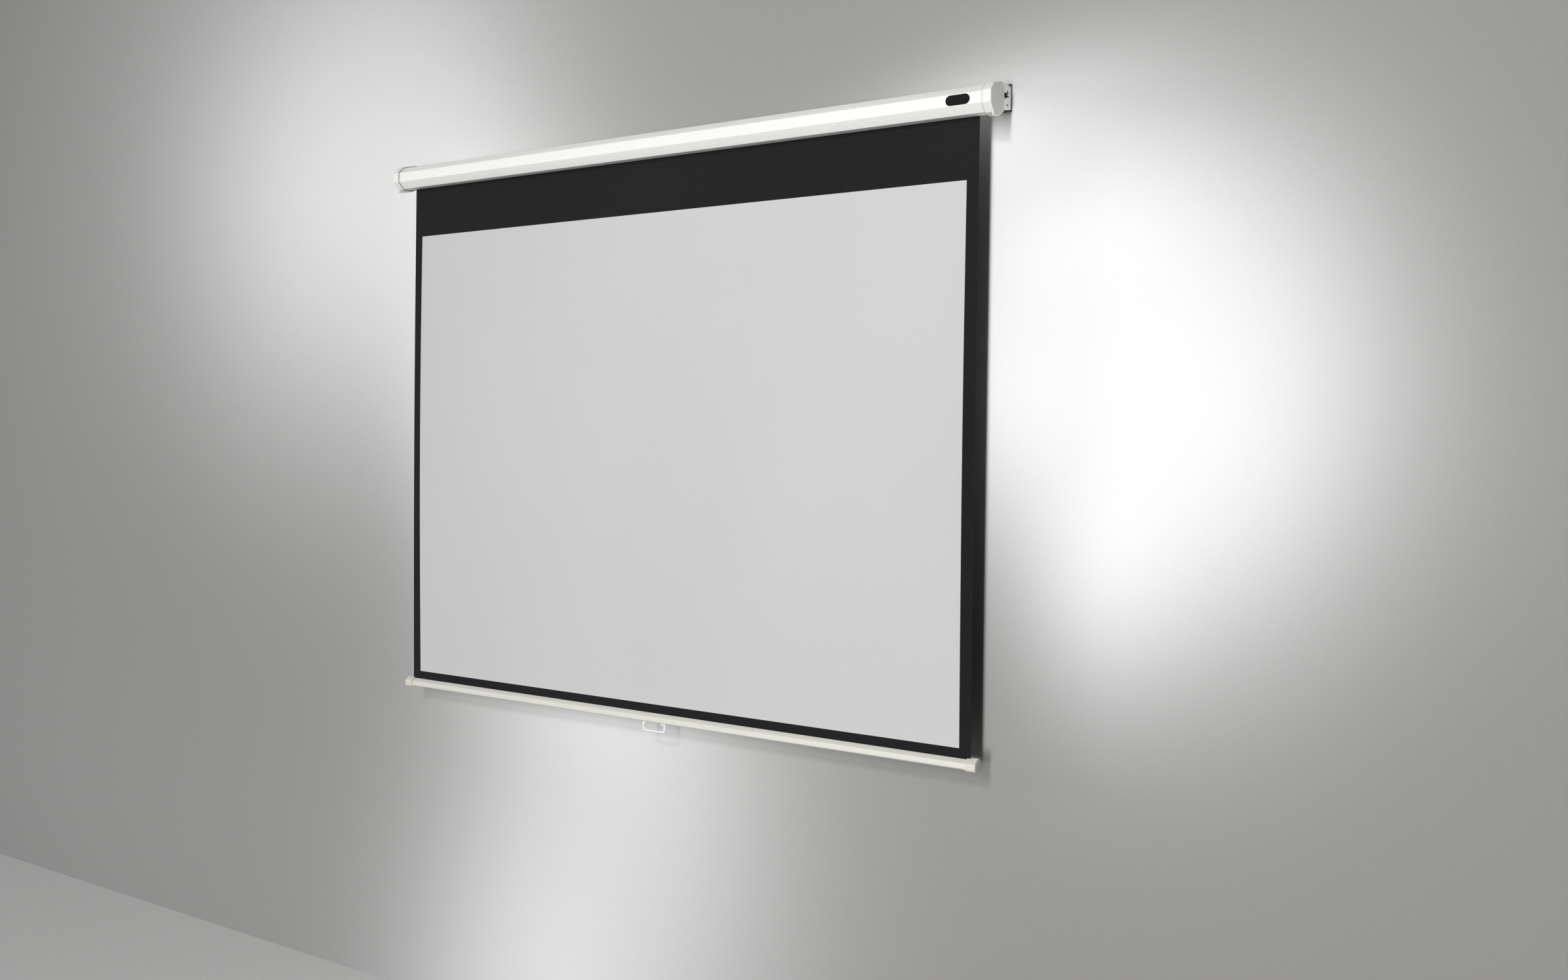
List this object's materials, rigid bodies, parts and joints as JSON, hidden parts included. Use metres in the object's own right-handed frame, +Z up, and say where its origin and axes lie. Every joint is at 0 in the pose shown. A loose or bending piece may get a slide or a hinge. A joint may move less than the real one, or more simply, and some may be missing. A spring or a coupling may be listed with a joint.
{
  "type": "projector screen",
  "caption": "Pull-down projector screen with an octagonal case, capped ends on wall brackets, spring roller, black-bordered fabric, weight bar and hinged pull handle.",
  "frame": {"origin": "on the wall plane, midway between the two brackets, level with the roller's axis", "axes": "+X to the viewer's right along the roller, +Y into the wall, +Z up"},
  "size_m": [1.9608, 0.1506, 1.6685],
  "materials": {
    "case_paint": "white powder coat, fine grain",
    "cap_plastic": "moulded, satin",
    "zinc_steel": "zinc plated",
    "dark_steel": "oiled spring and rod steel",
    "black_steel": "black paint",
    "tube_steel": "galvanised tube",
    "black_plastic": "moulded, matte",
    "black_fabric": "matte black coated fabric",
    "screen_fabric": "matte white coated fabric",
    "bar_paint": "cream white powder coat",
    "handle_coat": "white plastic coat on wire"
  },
  "bodies": {
    "case": {"case_shell": "case_paint", "spring_arbor": "zinc_steel", "torsion_spring": "dark_steel", "spring_hub": "black_plastic", "idler_pin": "zinc_steel", "fabric_sheet": "screen_fabric", "end_cap_left": "cap_plastic", "end_cap_right": "cap_plastic", "end_block_left": "black_plastic", "end_block_right": "black_plastic", "hanger_plate_left": "zinc_steel", "hanger_plate_right": "zinc_steel", "wall_bracket_left": "black_steel", "wall_bracket_right": "black_steel", "bracket_bolt_left": "zinc_steel", "bracket_bolt_right": "zinc_steel", "bracket_washer_left": "black_steel", "bracket_washer_right": "black_steel", "bracket_nut_left": "black_steel", "bracket_nut_right": "black_steel", "cap_screw_left": "zinc_steel", "cap_screw_right": "zinc_steel", "plate_screw_left_upper": "zinc_steel", "plate_screw_left_lower": "zinc_steel", "plate_screw_right_upper": "zinc_steel", "plate_screw_right_lower": "zinc_steel"},
    "roller": {"roller_tube": "tube_steel", "fabric_roll": "black_fabric", "lock_cartridge": "black_plastic", "support_bush": "black_plastic", "idler_plug": "black_plastic"},
    "bar": {"weight_bar": "bar_paint", "hem_rod": "dark_steel", "fabric_hem": "black_fabric", "bar_cap_left": "cap_plastic", "bar_cap_right": "cap_plastic", "handle_lug_left": "handle_coat", "handle_lug_right": "handle_coat"},
    "handle": {"pull_handle": "handle_coat"}
  },
  "joints": [
    {"name": "bar_lift", "type": "slide", "parent": "case", "child": "bar", "axis": [0, 0, 1], "range_m": [0, 1.5115], "deforming": ["fabric_sheet"]},
    {"name": "roller_turn", "type": "hinge", "parent": "case", "child": "roller", "pos_m": [0, -0.11589, 0], "axis": [1, 0, 0], "range_deg": [0, 4764]},
    {"name": "handle_swing", "type": "hinge", "parent": "bar", "child": "handle", "pos_m": [0, -0.1, -1.58075], "axis": [1, 0, 0], "range_deg": [-85, 85]}
  ],
  "couplings": [
    {"joint": "roller_turn", "follows": "bar_lift", "rad_per_m": 55}
  ]
}
